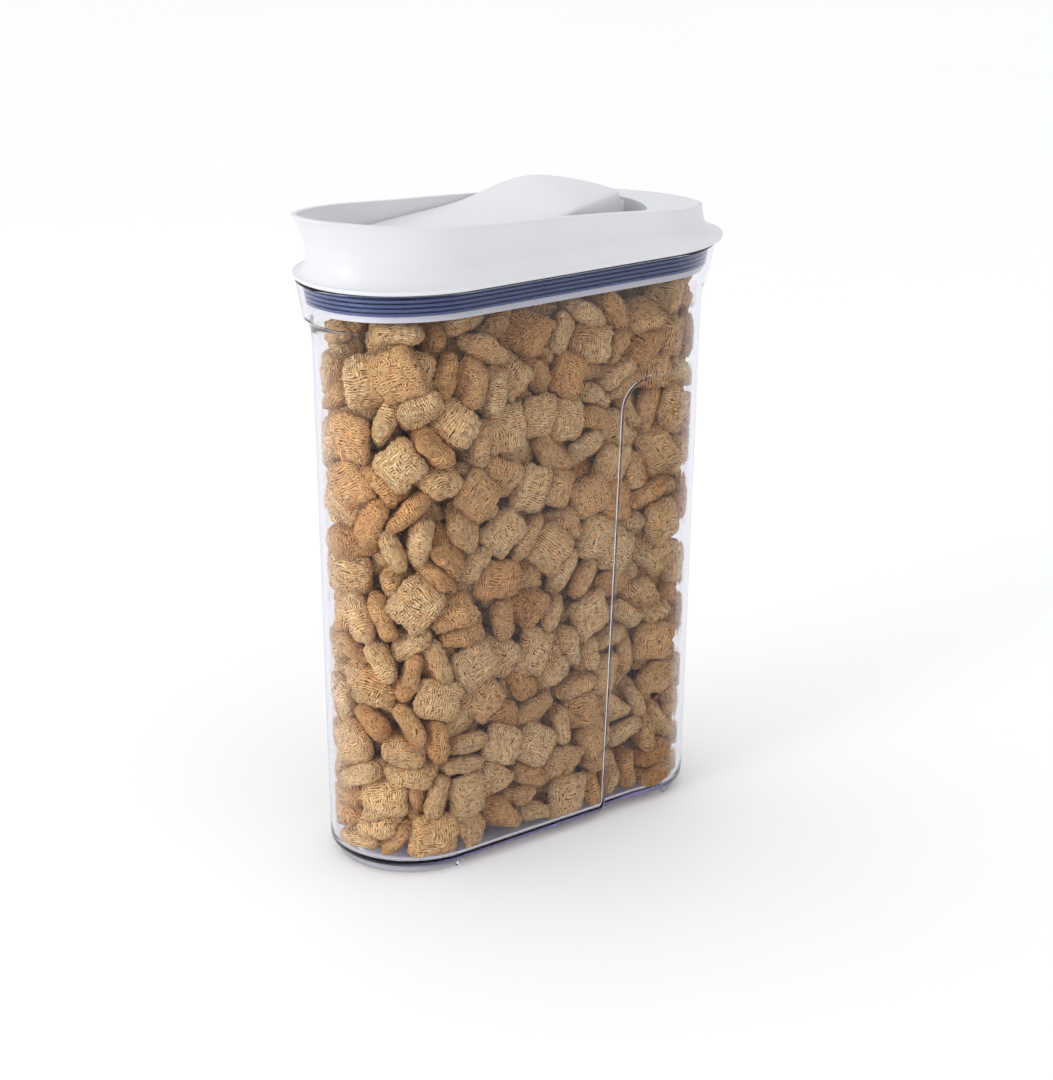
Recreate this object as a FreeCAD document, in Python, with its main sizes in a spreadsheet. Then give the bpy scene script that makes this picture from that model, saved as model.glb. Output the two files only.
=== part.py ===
"""Pour-top food canister: a clear rounded tank and a white lid with a hinged pour flap."""

import FreeCAD, Part
import math
import os

import Sketcher

V = FreeCAD.Vector

DIMENSIONS = {
    # whole object
    "centre_shift": 0.48,
    "straight_half": 50.0,
    "end_fullness": 1.12,
    # clear tank, measured on its outer faces
    "tank_half_length": 88.6,
    "tank_half_width": 36.8,
    "tank_taper": 3.1,
    "tank_wall": 2.0,
    "foot_height": 3.0,
    "floor_thickness": 2.5,
    "base_round": 4.0,
    "neck_level": 212.0,
    "collar_level": 224.6,
    "collar_top": 239.6,
    "collar_half_length": 95.6,
    "collar_half_width": 40.2,
    "collar_flare": 2.6,
    # grip recess in each long side
    "grip_depth": 2.8,
    "grip_front_low": 24.0,
    "grip_front_high": 30.0,
    "grip_rear": 52.0,
    "grip_top": 190.0,
    "grip_bump_edge": 1.8,
    "grip_front_step": 1.5,
    "grip_rear_step": 2.5,
    "grip_overcut": 3.0,
    "grip_bump_sink": 1.0,
    # feet
    "foot_inset": 2.6,
    "foot_width": 5.0,
    "foot_gap_front": 50.0,
    "foot_gap_rear": 61.0,
    "foot_merge": 0.8,
    "foot_gap_overcut": 10.0,
    # white lid shell
    "lid_level": 240.0,
    "merge": 0.5,
    "flange_front": 96.3,
    "flange_rear": 99.8,
    "flange_half_width": 41.5,
    "flange_wall": 2.0,
    "lip_height": 1.6,
    "waist_height": 9.0,
    "flare_front": 3.6,
    "flare_rear": 7.6,
    "flare_side": 8.3,
    "rim_tip_y": 112.0,
    "rim_tip": 28.6,
    "rim_knee_y": 30.0,
    "rim_knee": 21.3,
    "rim_end_y": 104.0,
    "rim_end": 11.0,
    "rim_radius": 860.0,
    "rim_blank": 34.0,
    "rim_overcut": 6.0,
    "shell_wall": 2.2,
    # well, finger recess, throat and underside of the lid
    "well_floor": 7.5,
    "well_plate": 2.0,
    "well_half_width": 28.5,
    "recess_front": 38.0,
    "recess_front_end": 2.0,
    "recess_front_corner": 1.5,
    "recess_rear": 58.2,
    "recess_end": 16.0,
    "recess_corner": 6.0,
    "recess_floor": 3.0,
    "recess_wall": 2.0,
    "recess_step": 0.4,
    "throat_front": 78.5,
    "throat_rear": 10.0,
    "throat_half_width": 23.5,
    "throat_corner": 9.0,
    "throat_end": 15.0,
    "throat_wall": 1.8,
    "throat_depth": 3.0,
    "deck_front": 61.5,
    "deck_rear": 82.0,
    "deck_front_end": 4.0,
    "deck_front_corner": 3.0,
    "deck_end": 16.0,
    "deck_corner": 8.0,
    "deck_half_width": 21.5,
    "deck_cavity": 9.0,
    # lid frame and its gasket
    "frame_half_length": 88.6,
    "frame_half_width": 33.3,
    "frame_wall": 2.0,
    "frame_depth": 11.2,
    "strip_half_length": 91.0,
    "strip_half_width": 35.2,
    "strip_height": 2.3,
    "rib_wall": 1.6,
    "rib_depth": 2.5,
    "gasket_base": 8.7,
    "gasket_top": 0.4,
    "gasket_core": 1.5,
    "gasket_clearance": 0.3,
    "fin_thickness": 0.9,
    "fin_pitch": 1.8,
    "fin_start": 0.2,
    # pour flap and hinge
    "hinge_y": 47.0,
    "hinge_rise": 13.5,
    "pin_radius": 1.25,
    "pin_clearance": 0.06,
    "pin_half_length": 7.6,
    "bracket_half_width": 4.4,
    "bracket_radius": 3.0,
    "bracket_foot": 1.0,
    "bracket_run": 6.0,
    "slot_clearance": 0.7,
    "slot_side_clearance": 0.5,
    "slot_rear_relief": 1.0,
    "slot_mouth": 3.0,
    "flap_bottom": 8.0,
    "flap_front": 82.5,
    "flap_half_width": 27.7,
    "flap_taper_start": 5.0,
    "flap_nose": 53.75,
    "flap_taper_radius": 80.0,
    "flap_top_overcut": 2.0,
    "hollow_low": 6.0,
    "liner_gap": 1.3,
    "liner_thickness": 1.6,
    "plug_gap": 2.8,
    "plug_wall": 1.6,
    "plug_depth": 1.0,
    "flap_gasket_gap": 1.2,
    "flap_gasket_base": 0.5,
    "flap_gasket_height": 4.5,
    "pin_chamfer": 0.3,
}

# How far out the tank's neck has flared at each fraction of its height.
NECK_CURVE = ((0.35, 0.08), (0.68, 0.30), (0.88, 0.60))

# Angles along the lid's concave flare, from its lip up to its waist.
FLARE_ANGLES = (0, 25, 50, 70, 90)

# Upper lid shell: height above the lid level, front reach, half width, rear reach.
SPOUT_SECTIONS = (
    (9.0, 92.7, 33.2, 92.2),
    (15.0, 93.6, 32.5, 92.2),
    (21.0, 96.6, 31.9, 92.1),
    (27.4, 101.2, 31.4, 92.0),
    (34.0, 107.5, 31.2, 92.0),
)

# Top of the pour flap: y, height of its edges, height of its crown, both above the lid level.
FLAP_SECTIONS = (
    (-90.0, 10.4, 10.8),
    (-60.0, 12.7, 13.9),
    (-30.0, 15.2, 17.5),
    (-5.0, 17.0, 23.8),
    (10.0, 18.6, 29.3),
    (24.0, 17.0, 28.2),
    (38.0, 13.2, 24.9),
    (48.0, 10.4, 21.7),
    (58.0, 7.0, 17.4),
)

# Hollow of the pour flap: y, half width, height of its edges, height of its crown.
HOLLOW_SECTIONS = (
    (-72.0, 14.0, 10.2, 10.6),
    (-62.0, 19.0, 10.9, 11.5),
    (-50.0, 20.8, 11.9, 12.7),
    (-20.0, 20.8, 15.3, 17.0),
    (8.0, 20.8, 21.2, 26.2),
    (24.0, 18.5, 21.3, 25.7),
    (36.0, 12.6, 20.8, 22.9),
)

# Angles round the tank's bottom edge, from the underside up to the wall.
BASE_ANGLES = (0, 22.5, 45, 67.5)

FIN_COUNT = 5


class Size:
    """A length that carries both its number and the spreadsheet expression that gives it."""

    def __init__(self, value, text):
        self.value = value
        self.text = text

    def __add__(self, other):
        other = as_size(other)
        return Size(self.value + other.value, f"({self.text} + {other.text})")

    def __sub__(self, other):
        other = as_size(other)
        return Size(self.value - other.value, f"({self.text} - {other.text})")

    def __mul__(self, other):
        other = as_size(other)
        return Size(self.value * other.value, f"({self.text} * {other.text})")

    def __truediv__(self, other):
        other = as_size(other)
        return Size(self.value / other.value, f"({self.text} / {other.text})")

    def __neg__(self):
        return self * -1.0


def as_size(value):
    """Turn a plain number into a Size."""
    if isinstance(value, Size):
        return value
    return Size(float(value), f"({float(value):.6f})")


doc = FreeCAD.newDocument("canister")
sheet = doc.addObject("Spreadsheet::Sheet", "sheet")
for prefix, table in (("spout", SPOUT_SECTIONS), ("flap_top", FLAP_SECTIONS), ("hollow", HOLLOW_SECTIONS)):
    for row, numbers in enumerate(table):
        for column, number in enumerate(numbers):
            DIMENSIONS[f"{prefix}_{row}_{column}"] = number
for row, (alias, number) in enumerate(DIMENSIONS.items(), start=1):
    sheet.set(f"A{row}", alias)
    sheet.set(f"B{row}", str(number))
    sheet.setAlias(f"B{row}", alias)
doc.recompute()

size = {alias: Size(number, f"sheet.{alias}") for alias, number in DIMENSIONS.items()}


class End:
    """One end of an outline: how far it reaches, where it leaves the straight, and its shoulder radius."""

    def __init__(self, reach, straight, shoulder):
        self.reach = as_size(reach)
        self.straight = as_size(straight)
        self.shoulder = as_size(shoulder)

    def nose_radius(self, half_width):
        """Radius of the nose arc that closes this end tangent to both shoulders."""
        depth = self.reach.value - self.straight.value
        shoulder = self.shoulder.value
        spread = (shoulder - half_width) ** 2 + depth ** 2 - shoulder ** 2
        return spread / (2 * (depth - shoulder))


class Outline:
    """A plan outline with straight sides and an arched end at the front and at the rear."""

    def __init__(self, front, rear, half_width):
        self.front = front
        self.rear = rear
        self.half_width = as_size(half_width)


def full_end(reach, half_width):
    """The softly pointed end used by the tank and the lid."""
    depth = reach - size["straight_half"]
    shoulder = (half_width * half_width + depth * depth) / (half_width * 2) * size["end_fullness"]
    return End(reach, size["straight_half"], shoulder)


def oval(front, rear, half_width):
    """The rounded oval shared by the tank and the lid."""
    front = as_size(front)
    rear = as_size(rear)
    half_width = as_size(half_width)
    return Outline(full_end(front, half_width), full_end(rear, half_width), half_width)


def new_body(label):
    """A body placed on the object's centre line."""
    body = doc.addObject("PartDesign::Body", label)
    body.Label = label
    body.setExpression("Placement.Base.y", "sheet.centre_shift")
    return body


def origin_plane(body, role):
    """One of the body's own origin planes."""
    return next(item for item in body.Origin.OriginFeatures if item.Role == role)


def new_sketch(body, name, role, offset):
    """A sketch parallel to one of the body's origin planes."""
    offset = as_size(offset)
    sketch = body.newObject("Sketcher::SketchObject", name)
    sketch.AttachmentSupport = [(origin_plane(body, role), "")]
    sketch.MapMode = "FlatFace"
    sketch.AttachmentOffset = FreeCAD.Placement(V(0, 0, offset.value), FreeCAD.Rotation())
    sketch.setExpression("AttachmentOffset.Base.z", offset.text)
    return sketch


def hold(sketch, kind, items, length):
    """Add a dimension and bind it to the spreadsheet."""
    index = sketch.addConstraint(Sketcher.Constraint(kind, *items, length.value))
    name = f"held_{index}"
    sketch.renameConstraint(index, name)
    sketch.setExpression(f"Constraints.{name}", length.text)


def hold_coordinate(sketch, kind, geometry, vertex, target):
    """Hold one coordinate of a vertex, measured from the sketch origin."""
    if target.value >= 0:
        hold(sketch, kind, (-1, 1, geometry, vertex), target)
    else:
        hold(sketch, kind, (geometry, vertex, -1, 1), -target)


def hold_point(sketch, geometry, vertex, x, y):
    """Hold both coordinates of a vertex."""
    hold_coordinate(sketch, "DistanceX", geometry, vertex, as_size(x))
    hold_coordinate(sketch, "DistanceY", geometry, vertex, as_size(y))


def arc(centre, radius, first, last):
    """A counter-clockwise arc between two angles."""
    return Part.ArcOfCircle(Part.Circle(centre, V(0, 0, 1), radius), first, last)


def angle_of(point, centre):
    """Direction of a point seen from a centre."""
    return math.atan2(point.y - centre.y, point.x - centre.x)


def draw_end(sketch, outline, end, facing, sides):
    """Close one end of an outline with two shoulder arcs and a nose arc."""
    width = outline.half_width.value
    shoulder = end.shoulder.value
    nose_radius = end.nose_radius(width)
    nose_centre = V(0, facing * (end.reach.value - nose_radius), 0)
    line_vertex = 2 if facing > 0 else 1
    turns = {}
    shoulders = {}
    for side in (-1, 1):
        centre = V(side * (width - shoulder), facing * end.straight.value, 0)
        turn = (nose_centre - centre) / (shoulder - nose_radius)
        angle = math.atan2(turn.y, turn.x)
        flat = 0.0 if side > 0 else math.pi
        starts_flat = side * facing > 0
        angles = (flat, angle) if starts_flat else (angle, flat)
        shoulders[side] = sketch.addGeometry(arc(centre, shoulder, *angles))
        turns[side] = (angle, 2 if starts_flat else 1)
        joint = (shoulders[side], 1 if starts_flat else 2, sides[side], line_vertex)
        sketch.addConstraint(Sketcher.Constraint("Tangent", *joint))
        hold(sketch, "Radius", (shoulders[side],), end.shoulder)
    first, last = (1, -1) if facing > 0 else (-1, 1)
    nose = sketch.addGeometry(arc(nose_centre, nose_radius, turns[first][0], turns[last][0]))
    for side, vertex in ((first, 1), (last, 2)):
        sketch.addConstraint(Sketcher.Constraint("Tangent", nose, vertex, shoulders[side], turns[side][1]))
    tip = sketch.addGeometry(Part.Point(V(0, facing * end.reach.value, 0)), True)
    sketch.addConstraint(Sketcher.Constraint("PointOnObject", tip, 1, -2))
    sketch.addConstraint(Sketcher.Constraint("PointOnObject", tip, 1, nose))
    hold_coordinate(sketch, "DistanceY", tip, 1, end.reach * facing)


def draw_outline(sketch, outline):
    """Draw a whole outline, fully held by spreadsheet sizes."""
    width = outline.half_width
    front = -outline.front.straight
    rear = outline.rear.straight
    sides = {}
    for side in (-1, 1):
        start = V(side * width.value, front.value, 0)
        finish = V(side * width.value, rear.value, 0)
        sides[side] = sketch.addGeometry(Part.LineSegment(start, finish))
        sketch.addConstraint(Sketcher.Constraint("Vertical", sides[side]))
        hold_point(sketch, sides[side], 1, width * side, front)
        hold_coordinate(sketch, "DistanceY", sides[side], 2, rear)
    draw_end(sketch, outline, outline.front, -1, sides)
    draw_end(sketch, outline, outline.rear, 1, sides)


def draw_polygon(sketch, points):
    """Draw a closed polygon whose corners are held by spreadsheet sizes."""
    points = [(as_size(x), as_size(y)) for x, y in points]
    count = len(points)
    for index, (x, y) in enumerate(points):
        next_x, next_y = points[(index + 1) % count]
        sketch.addGeometry(Part.LineSegment(V(x.value, y.value, 0), V(next_x.value, next_y.value, 0)))
    for index, (x, y) in enumerate(points):
        sketch.addConstraint(Sketcher.Constraint("Coincident", index, 2, (index + 1) % count, 1))
        hold_point(sketch, index, 1, x, y)


def draw_circle(sketch, x, y, radius):
    """Draw a circle held by spreadsheet sizes."""
    circle = Part.Circle(V(as_size(x).value, as_size(y).value, 0), V(0, 0, 1), radius.value)
    index = sketch.addGeometry(circle)
    hold_point(sketch, index, 3, x, y)
    hold(sketch, "Radius", (index,), radius)


def outline_sketch(body, name, level, *outlines):
    """A level sketch holding one or more outlines."""
    sketch = new_sketch(body, name, "XY_Plane", level)
    for outline in outlines:
        draw_outline(sketch, outline)
    return sketch


def extrude(body, kind, name, sketch, length, reverse=False, symmetric=False):
    """A pad or pocket with a spreadsheet length."""
    feature = body.newObject(f"PartDesign::{kind}", name)
    feature.Profile = sketch
    feature.Length = as_size(length).value
    feature.setExpression("Length", as_size(length).text)
    feature.Reversed = reverse
    if symmetric:
        feature.SideType = "Symmetric"
    sketch.Visibility = False
    return feature


def loft(body, kind, name, sketches, ruled):
    """A loft through a row of sketches."""
    feature = body.newObject(f"PartDesign::{kind}", name)
    feature.Profile = sketches[0]
    feature.Sections = sketches[1:]
    feature.Ruled = ruled
    for sketch in sketches:
        sketch.Visibility = False
    return feature


def mirror(body, name, originals, role):
    """Mirror features in one of the body's origin planes."""
    feature = body.newObject("PartDesign::Mirrored", name)
    feature.Originals = originals
    feature.MirrorPlane = (origin_plane(body, role), [""])
    body.Tip = feature
    return feature


def blend(low, high, fraction):
    """A size part of the way from one to another."""
    return low + (high - low) * fraction


# Clear tank.
tank_low_reach = size["tank_half_length"] - size["tank_taper"]
tank_low_width = size["tank_half_width"] - size["tank_taper"]
tank_height = size["neck_level"] - size["foot_height"]
collar_low_reach = size["collar_half_length"] - size["collar_flare"]
collar_low_width = size["collar_half_width"] - size["collar_flare"]


def tank_section(level, fraction, inset):
    """Tank outline at a fraction of the wall's height."""
    reach = blend(tank_low_reach, size["tank_half_length"], fraction) - inset
    width = blend(tank_low_width, size["tank_half_width"], fraction) - inset
    return level, oval(reach, reach, width)


def neck_sections(inset):
    """Tank outlines through the neck and the collar."""
    sections = []
    for rise, flare in NECK_CURVE:
        level = blend(size["neck_level"], size["collar_level"], rise)
        reach = blend(size["tank_half_length"], collar_low_reach, flare) - inset
        width = blend(size["tank_half_width"], collar_low_width, flare) - inset
        sections.append((level, oval(reach, reach, width)))
    low = (collar_low_reach - inset, collar_low_width - inset)
    sections.append((size["collar_level"], oval(low[0], low[0], low[1])))
    high = (size["collar_half_length"] - inset, size["collar_half_width"] - inset)
    sections.append((size["collar_top"], oval(high[0], high[0], high[1])))
    return sections


def section_sketches(body, name, sections):
    """One level sketch for each section of a loft."""
    return [outline_sketch(body, f"{name}_{i}", level, shape) for i, (level, shape) in enumerate(sections)]


def base_sections():
    """Tank outlines round the bottom edge."""
    sections = []
    radius = size["base_round"]
    for angle in BASE_ANGLES:
        inset = radius * (1 - math.sin(math.radians(angle)))
        rise = radius * (1 - math.cos(math.radians(angle)))
        sections.append(tank_section(size["foot_height"] + rise, rise / tank_height, inset))
    return sections


tank = new_body("container_body")
no_inset = as_size(0.0)
base_top = size["foot_height"] + size["base_round"]
outer_sections = [
    tank_section(base_top, size["base_round"] / tank_height, no_inset),
    tank_section(size["neck_level"], as_size(1.0), no_inset),
] + neck_sections(no_inset)
outer_sketches = section_sketches(tank, "outer", base_sections() + outer_sections)
tank_outer = loft(tank, "AdditiveLoft", "tank_outer", outer_sketches, True)

wall = size["tank_wall"]
floor_level = size["foot_height"] + size["floor_thickness"]
inner_sections = [
    tank_section(floor_level, size["floor_thickness"] / tank_height, wall),
    tank_section(size["neck_level"], as_size(1.0), wall),
] + neck_sections(wall)
loft(tank, "SubtractiveLoft", "tank_cavity", section_sketches(tank, "inner", inner_sections), True)


def grip_section(level, fraction, front, inner, outer, edge):
    """Plan section of the grip recess, between two depths measured from the wall's outer face."""
    width = blend(tank_low_width, size["tank_half_width"], fraction)
    near = front - edge
    far = size["grip_rear"] + edge
    deep = width - inner
    shallow = width - outer
    return level, (
        (deep, near),
        (shallow, near - size["grip_front_step"]),
        (shallow, far + size["grip_rear_step"]),
        (deep, far),
    )


def grip_loft(kind, name, levels, inner, outer, edge):
    """A ruled loft between two plan sections of the grip recess."""
    sketches = []
    for index, (level, fraction) in enumerate(levels):
        front = size["grip_front_high"] if index else size["grip_front_low"]
        level, points = grip_section(level, fraction, front, inner, outer, edge)
        sketch = new_sketch(tank, f"{name}_{index}", "XY_Plane", level)
        draw_polygon(sketch, points)
        sketches.append(sketch)
    return loft(tank, kind, name, sketches, True)


bump_levels = (
    (floor_level - size["grip_bump_sink"], as_size(0.0)),
    (size["grip_top"] + size["grip_bump_edge"], (size["grip_top"] - size["foot_height"]) / tank_height),
)
grip_levels = (
    (as_size(0.0), as_size(0.0)),
    (size["grip_top"], (size["grip_top"] - size["foot_height"]) / tank_height),
)
bump_depth = size["grip_depth"] + wall
bump_edge = size["grip_bump_edge"]
grip_bump = grip_loft("AdditiveLoft", "grip_bump", bump_levels, bump_depth, size["grip_bump_sink"], bump_edge)
overcut = -size["grip_overcut"]
grip_cut = grip_loft("SubtractiveLoft", "grip_cut", grip_levels, size["grip_depth"], overcut, no_inset)
mirror(tank, "grip_pair", [grip_bump, grip_cut], "YZ_Plane")


def foot_outline(extra):
    """Outline of the foot ring, moved inwards."""
    inset = size["foot_inset"] + extra
    return oval(tank_low_reach - inset, tank_low_reach - inset, tank_low_width - inset)


foot_sketch = outline_sketch(tank, "foot_ring", 0.0, foot_outline(no_inset), foot_outline(size["foot_width"]))
extrude(tank, "Pad", "foot_pad", foot_sketch, size["foot_height"] + size["foot_merge"])
gap_sketch = new_sketch(tank, "foot_gap", "XY_Plane", 0.0)
gap_front = -size["foot_gap_front"]
gap_rear = size["foot_gap_rear"]
gap_width = size["tank_half_width"] + size["foot_gap_overcut"]
draw_polygon(
    gap_sketch,
    (
        (gap_width, gap_front),
        (gap_width, gap_rear),
        (-gap_width, gap_rear),
        (-gap_width, gap_front),
    ),
)
extrude(tank, "Pocket", "foot_split", gap_sketch, size["foot_height"], reverse=True)


# White lid shell.
lid = new_body("lid_shell")
level = size["lid_level"]
flange = oval(size["flange_front"], size["flange_rear"], size["flange_half_width"])
extrude(lid, "Pad", "lip", outline_sketch(lid, "lip_outline", level, flange), size["lip_height"])

flare_rise = size["waist_height"] - size["lip_height"]
flare_sections = []
for angle in FLARE_ANGLES:
    inward = math.sin(math.radians(angle))
    upward = 1 - math.cos(math.radians(angle))
    shape = oval(
        size["flange_front"] - size["flare_front"] * inward,
        size["flange_rear"] - size["flare_rear"] * inward,
        size["flange_half_width"] - size["flare_side"] * inward,
    )
    flare_sections.append((level + size["lip_height"] + flare_rise * upward, shape))
loft(lid, "AdditiveLoft", "flare", section_sketches(lid, "flare", flare_sections), False)

spout_sections = []
for row in range(len(SPOUT_SECTIONS)):
    rise, front, half_width, rear = (size[f"spout_{row}_{column}"] for column in range(4))
    spout_sections.append((level + rise, oval(front, rear, half_width)))
loft(lid, "AdditiveLoft", "spout", section_sketches(lid, "spout", spout_sections), False)


def rim_arcs():
    """The two tangent arcs of the rim's side view: a hollow one over the spout, a crowned one behind."""
    tip = V(-DIMENSIONS["rim_tip_y"], DIMENSIONS["lid_level"] + DIMENSIONS["rim_tip"], 0)
    knee = V(-DIMENSIONS["rim_knee_y"], DIMENSIONS["lid_level"] + DIMENSIONS["rim_knee"], 0)
    end = V(DIMENSIONS["rim_end_y"], DIMENSIONS["lid_level"] + DIMENSIONS["rim_end"], 0)
    radius = DIMENSIONS["rim_radius"]
    chord = knee - tip
    across = V(-chord.y, chord.x, 0) / chord.Length
    front_centre = (tip + knee) / 2 + across * math.sqrt(radius ** 2 - (chord.Length / 2) ** 2)
    normal = (knee - front_centre) / radius
    span = end - knee
    rear_radius = span.Length ** 2 / (2 * abs(span.dot(normal)))
    rear_centre = knee + normal * rear_radius
    return tip, knee, end, front_centre, radius, rear_centre, rear_radius


tip, knee, end, front_centre, front_radius, rear_centre, rear_radius = rim_arcs()
rim = new_sketch(lid, "rim_profile", "YZ_Plane", 0.0)
front_angles = (angle_of(tip, front_centre), angle_of(knee, front_centre))
rear_angles = (angle_of(end, rear_centre), angle_of(knee, rear_centre))
rim.addGeometry(arc(front_centre, front_radius, *front_angles))
rim.addGeometry(arc(rear_centre, rear_radius, *rear_angles))
rim_top = level + size["rim_blank"] + size["rim_overcut"]
top = rim_top.value
corners = (end, V(end.x, top, 0), V(tip.x, top, 0), tip)
for start, finish in zip(corners, corners[1:]):
    rim.addGeometry(Part.LineSegment(start, finish))
rim.addConstraint(Sketcher.Constraint("Tangent", 0, 2, 1, 2))
rim.addConstraint(Sketcher.Constraint("Coincident", 1, 1, 2, 1))
rim.addConstraint(Sketcher.Constraint("Coincident", 2, 2, 3, 1))
rim.addConstraint(Sketcher.Constraint("Coincident", 3, 2, 4, 1))
rim.addConstraint(Sketcher.Constraint("Coincident", 4, 2, 0, 1))
rim.addConstraint(Sketcher.Constraint("Vertical", 2))
rim.addConstraint(Sketcher.Constraint("Horizontal", 3))
rim.addConstraint(Sketcher.Constraint("Vertical", 4))
hold_point(rim, 0, 1, -size["rim_tip_y"], level + size["rim_tip"])
hold_point(rim, 0, 2, -size["rim_knee_y"], level + size["rim_knee"])
hold_point(rim, 1, 1, size["rim_end_y"], level + size["rim_end"])
hold_coordinate(rim, "DistanceY", 3, 1, rim_top)
hold(rim, "Radius", (0,), size["rim_radius"])
extrude(lid, "Pocket", "rim_cut", rim, size["flange_half_width"] * 3, symmetric=True)


def pocket_rear():
    """Rounded rear end of the well and of the finger recess."""
    return End(size["recess_rear"], size["recess_rear"] - size["recess_end"], size["recess_corner"])


well_sections = []
for row in range(len(SPOUT_SECTIONS)):
    rise, front = (size[f"spout_{row}_{column}"] for column in range(2))
    if row == 0:
        rise = size["well_floor"]
    reach = front - size["shell_wall"]
    shape = Outline(full_end(reach, size["well_half_width"]), pocket_rear(), size["well_half_width"])
    well_sections.append((level + rise, shape))
loft(lid, "SubtractiveLoft", "well", section_sketches(lid, "well", well_sections), False)


def inner_oval(extra):
    """Inner face of the lid frame, moved inwards."""
    inset = size["frame_wall"] + extra
    reach = size["frame_half_length"] - inset
    return oval(reach, reach, size["frame_half_width"] - inset)


flange_inside = oval(
    size["flange_front"] - size["flange_wall"],
    size["flange_rear"] - size["flange_wall"],
    size["flange_half_width"] - size["flange_wall"],
)
seat_rise = size["lip_height"]
seat_sketch = outline_sketch(lid, "flange_inside", level, flange_inside)
extrude(lid, "Pocket", "flange_cavity", seat_sketch, seat_rise, reverse=True)
under_sketch = outline_sketch(lid, "underside", level + seat_rise, inner_oval(size["rib_wall"]))
under_height = size["well_floor"] - size["well_plate"] - seat_rise
extrude(lid, "Pocket", "well_underside", under_sketch, under_height, reverse=True)

rib_sketch = outline_sketch(
    lid,
    "rib",
    level - size["rib_depth"],
    inner_oval(no_inset),
    inner_oval(size["rib_wall"]),
)
extrude(lid, "Pad", "locating_rib", rib_sketch, size["rib_depth"] + seat_rise + size["merge"])

deck_front = -size["deck_front"]
deck_shape = Outline(
    End(deck_front, deck_front - size["deck_front_end"], size["deck_front_corner"]),
    End(size["deck_rear"], size["deck_rear"] - size["deck_end"], size["deck_corner"]),
    size["deck_half_width"],
)
deck_sketch = outline_sketch(lid, "deck", level, deck_shape)
extrude(lid, "Pocket", "deck_underside", deck_sketch, size["deck_cavity"], reverse=True)


def recess_outline(extra):
    """Outline of the finger recess, moved outwards."""
    front = -size["recess_front"] + extra
    rear = pocket_rear()
    return Outline(
        End(front, -size["recess_front"] - size["recess_front_end"], size["recess_front_corner"] + extra),
        End(rear.reach + extra, rear.straight, rear.shoulder + extra),
        size["well_half_width"] + extra,
    )


tub_bottom = level + size["recess_floor"] - size["recess_wall"]
tub_sketch = outline_sketch(lid, "recess_tub", tub_bottom, recess_outline(size["recess_wall"]))
tub_height = size["well_floor"] - size["recess_floor"] + size["recess_wall"]
extrude(lid, "Pad", "recess_tub_pad", tub_sketch, tub_height)
recess_shape = recess_outline(-size["recess_step"])
recess_sketch = outline_sketch(lid, "recess", level + size["recess_floor"], recess_shape)
recess_depth = size["well_floor"] - size["recess_floor"] + size["merge"]
extrude(lid, "Pocket", "recess_pocket", recess_sketch, recess_depth, reverse=True)


def throat_outline(extra):
    """Outline of the pour throat, moved outwards."""
    front = size["throat_front"] + extra
    width = size["throat_half_width"] + extra
    rear = size["throat_rear"] + extra
    return Outline(
        full_end(front, width),
        End(rear, size["throat_rear"] - size["throat_end"], size["throat_corner"] + extra),
        width,
    )


throat_low = level - size["throat_depth"]
throat_ring = outline_sketch(lid, "throat_ring", throat_low, throat_outline(size["throat_wall"]))
throat_height = size["throat_depth"] + size["well_floor"] - size["well_plate"] + size["merge"]
extrude(lid, "Pad", "throat_collar", throat_ring, throat_height)
throat_sketch = outline_sketch(lid, "throat", throat_low, throat_outline(no_inset))
extrude(lid, "Pocket", "throat_hole", throat_sketch, size["throat_depth"] + size["well_floor"], reverse=True)

axis_level = level + size["hinge_rise"]
bracket = new_sketch(lid, "bracket_profile", "YZ_Plane", 0.0)
arm_rear = size["recess_front"]
arm_foot = level + size["well_floor"] - size["bracket_foot"]
reach_back = size["bracket_radius"] * 0.5
reach_up = size["bracket_radius"] * 0.85
draw_polygon(
    bracket,
    (
        (arm_rear - size["bracket_run"], arm_foot),
        (arm_rear, arm_foot),
        (size["hinge_y"] + reach_back, axis_level - reach_up),
        (size["hinge_y"] - reach_back, axis_level + reach_up),
    ),
)
extrude(lid, "Pad", "bracket_arm", bracket, size["bracket_half_width"] * 2, symmetric=True)
eye = new_sketch(lid, "bracket_eye", "YZ_Plane", 0.0)
draw_circle(eye, size["hinge_y"], axis_level, size["bracket_radius"])
extrude(lid, "Pad", "bracket_boss", eye, size["bracket_half_width"] * 2, symmetric=True)
bore = new_sketch(lid, "bracket_bore", "YZ_Plane", 0.0)
draw_circle(bore, size["hinge_y"], axis_level, size["pin_radius"] + size["pin_clearance"])
extrude(lid, "Pocket", "bracket_hole", bore, size["bracket_half_width"] * 4, symmetric=True)


# Lid frame and its gasket.
frame = new_body("lid_frame")
frame_low = level - size["frame_depth"]
seat = oval(size["frame_half_length"], size["frame_half_length"], size["frame_half_width"])
strip = oval(size["strip_half_length"], size["strip_half_length"], size["strip_half_width"])
frame_sketch = outline_sketch(frame, "frame_ring", frame_low, seat, inner_oval(no_inset))
extrude(frame, "Pad", "frame_wall_pad", frame_sketch, size["frame_depth"] + seat_rise)
strip_sketch = outline_sketch(frame, "strip_ring", frame_low, strip, inner_oval(no_inset))
extrude(frame, "Pad", "strip_pad", strip_sketch, size["strip_height"])

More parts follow.
